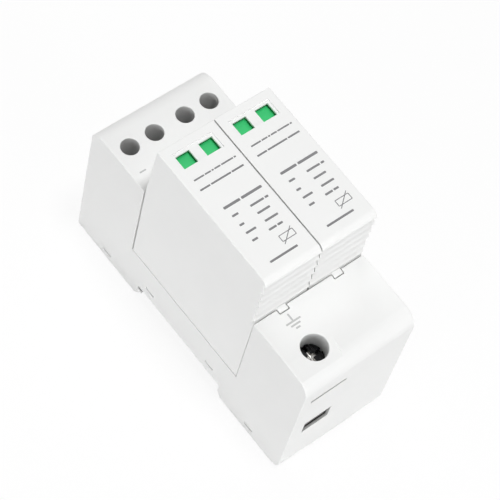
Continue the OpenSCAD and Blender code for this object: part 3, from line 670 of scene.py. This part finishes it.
def ink_varistor_sign(shape, middle):
    """A box with a slanted line through it."""
    left, right = (middle + x for x in SIGN_X)
    low, high = SIGN_Y
    centre_x = (left + right) / 2
    centre_y = (low + high) / 2
    for y in (low, high):
        ink_bar(shape, left, right, y, SIGN_LINE, FRONT_Z)
    for x in (left, right):
        ink_bar(shape, x - SIGN_LINE / 2, x + SIGN_LINE / 2, centre_y, high - low, FRONT_Z + OVERPRINT)
    slant = math.atan2(high - low + SIGN_OVER, right - left)
    reach = math.hypot(high - low + SIGN_OVER, right - left) / 2
    lifted = FRONT_Z + 2 * OVERPRINT
    ink_bar(shape, centre_x - reach, centre_x + reach, centre_y, SIGN_LINE, lifted, slant)


def print_module(pole):
    """The front of a module: rows of bars and a plain varistor sign."""
    shape = bmesh.new()
    middle = pole_x(pole)
    for x0, x1, y, height, lengths in FRONT_ROWS:
        ink_row(shape, middle + x0, middle + x1, y, height, FRONT_Z, lengths)
    ink_varistor_sign(shape, middle)
    piece_from(shape, f"module_print_{pole}", f"module_{pole}", INK_DARK)


def print_base():
    """An earth sign beside the earth screw and a small bar at the line terminals."""
    shape = bmesh.new()
    x = pole_x(1)
    stem_z = SHOULDER_Z + OVERPRINT
    ink_bar(shape, x - EARTH_LINE / 2, x + EARTH_LINE / 2, EARTH_Y + STEM_RISE, STEM_L, stem_z)
    for drop, half in EARTH_BARS:
        ink_bar(shape, x - half, x + half, EARTH_Y - drop, EARTH_LINE, SHOULDER_Z)
    ink_bar(shape, *LINE_MARK_X, LINE_MARK_Y, LINE_MARK_H, SHOULDER_Z)
    piece_from(shape, "base_print", "base", INK_PALE)


# Studio; the lamps and the floor are in metres


# The camera's place, and its turn in degrees round X, Y and Z
CAMERA_PLACE = (-218.5015, -163.0492, 509.2462)
CAMERA_TURN = (28.7471, -8.6338, -38.2105)
FOCAL_PX = 2095.0788
PHOTO_PX = 500.0
SENSOR_W = 36.0
CLIP_NEAR = 0.01
CLIP_FAR = 10.0
FLOOR_HALF = 1.5
FLOOR_Z = -0.0002
FLOOR_GREY = (0.93, 0.93, 0.93, 1.0)
FLOOR_GLOW = 0.9
WHITE = (1.0, 1.0, 1.0, 1.0)
AMBIENT = 0.15
LAMP_TARGET = Vector((0.0, 0.0, 0.03))
# Name, place, side and power in watts
LAMPS = (
    ("overhead_earth", (0.03, -0.13, 1.0), 0.16, 4.6),
    ("overhead_line", (0.03, 0.18, 1.0), 0.3, 1.15),
    ("earth_side", (0.12, -0.96, 0.25), 0.46, 3.45),
    ("left_side", (-1.0, -0.2, 0.25), 0.5, 4.1),
    ("line_side", (0.35, 0.8, 0.6), 0.5, 2.0),
)


def add_camera():
    """The photograph's viewing angle, from a fit of the body's corners."""
    data = bpy.data.cameras.new("camera")
    data.sensor_fit = "HORIZONTAL"
    data.sensor_width = SENSOR_W
    data.lens = FOCAL_PX * SENSOR_W / PHOTO_PX
    data.clip_start = CLIP_NEAR
    data.clip_end = CLIP_FAR
    camera = bpy.data.objects.new("camera", data)
    turn = Euler([math.radians(angle) for angle in CAMERA_TURN])
    camera.matrix_world = Matrix.LocRotScale(Vector(CAMERA_PLACE) * MM, turn, None)
    bpy.context.scene.collection.objects.link(camera)
    bpy.context.scene.camera = camera


def seen_directly(tree):
    """1 for camera, glossy and transmission rays, as a socket."""
    path = tree.nodes.new("ShaderNodeLightPath")
    first = math_node(tree, "MAXIMUM", path.outputs["Is Camera Ray"], path.outputs["Is Glossy Ray"])
    return math_node(tree, "MAXIMUM", first, path.outputs["Is Transmission Ray"])


def pale_floor():
    """Matt grey that looks almost white and keeps the shadow."""
    material = bpy.data.materials.new("pale_floor")
    material.use_nodes = True
    tree = material.node_tree
    shader = tree.nodes["Principled BSDF"]
    shader.inputs["Base Color"].default_value = FLOOR_GREY
    shader.inputs["Roughness"].default_value = 0.8
    shader.inputs["Specular IOR Level"].default_value = 0.1
    glow = tree.nodes.new("ShaderNodeEmission")
    glow.inputs["Color"].default_value = WHITE
    blend = tree.nodes.new("ShaderNodeMixShader")
    tree.links.new(math_node(tree, "MULTIPLY", seen_directly(tree), FLOOR_GLOW), blend.inputs["Fac"])
    tree.links.new(shader.outputs["BSDF"], blend.inputs[1])
    tree.links.new(glow.outputs["Emission"], blend.inputs[2])
    tree.links.new(blend.outputs["Shader"], tree.nodes["Material Output"].inputs["Surface"])
    return material


def add_floor():
    """A plain pale floor just under the part."""
    shape = bmesh.new()
    bmesh.ops.create_grid(shape, x_segments=1, y_segments=1, size=FLOOR_HALF)
    bmesh.ops.translate(shape, verts=shape.verts, vec=(0.0, 0.0, FLOOR_Z))
    floor = add_object("floor", mesh_from(shape, "floor"), pale_floor())


def add_surround():
    """A world that looks white and gives little light."""
    world = bpy.data.worlds.new("studio")
    world.use_nodes = True
    tree = world.node_tree
    back = tree.nodes["Background"]
    back.inputs["Color"].default_value = WHITE
    seen = math_node(tree, "MULTIPLY", seen_directly(tree), 1.0 - AMBIENT)
    tree.links.new(math_node(tree, "ADD", seen, AMBIENT), back.inputs["Strength"])
    bpy.context.scene.world = world


def add_lamp(name, place, side, power):
    """A soft square lamp that points at the part."""
    data = bpy.data.lights.new(name, "AREA")
    data.size = side
    data.energy = power
    lamp = bpy.data.objects.new(name, data)
    lamp.location = place
    lamp.rotation_euler = (LAMP_TARGET - Vector(place)).to_track_quat("-Z", "Y").to_euler()
    bpy.context.scene.collection.objects.link(lamp)


add_camera()
dress_nodes()
wind_clip_spring()
for each_pole in POLES:
    print_module(each_pole)
print_base()
add_floor()
add_surround()
for each_lamp in LAMPS:
    add_lamp(*each_lamp)
bpy.context.scene.view_settings.view_transform = "Standard"
